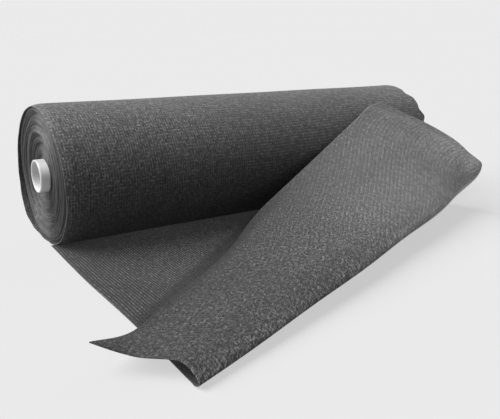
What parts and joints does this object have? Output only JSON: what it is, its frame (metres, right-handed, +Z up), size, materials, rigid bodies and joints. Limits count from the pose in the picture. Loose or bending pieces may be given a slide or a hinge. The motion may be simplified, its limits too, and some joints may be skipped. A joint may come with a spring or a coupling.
{
  "type": "privacy screen netting",
  "caption": "Roll of dense knitted privacy netting on a hollow core tube, its loose end run out on the floor and folded back over itself in a soft diagonal fold",
  "frame": {"origin": "on the floor under the middle of the roll's cut width, at the centre of its flat spot", "axes": "+X along the roll towards its far end, -Y towards the front where the loose end runs out, +Z up"},
  "size_m": [1.1403, 0.8816, 0.2971],
  "materials": {
    "netting": "matt dark grey knitted polyethylene with a faint sheen on its flat tapes",
    "core": "smooth pale grey extruded tube"
  },
  "bodies": {
    "root": {"core_tube": "core", "wound_roll": "netting", "loose_end": "netting"}
  },
  "joints": []
}
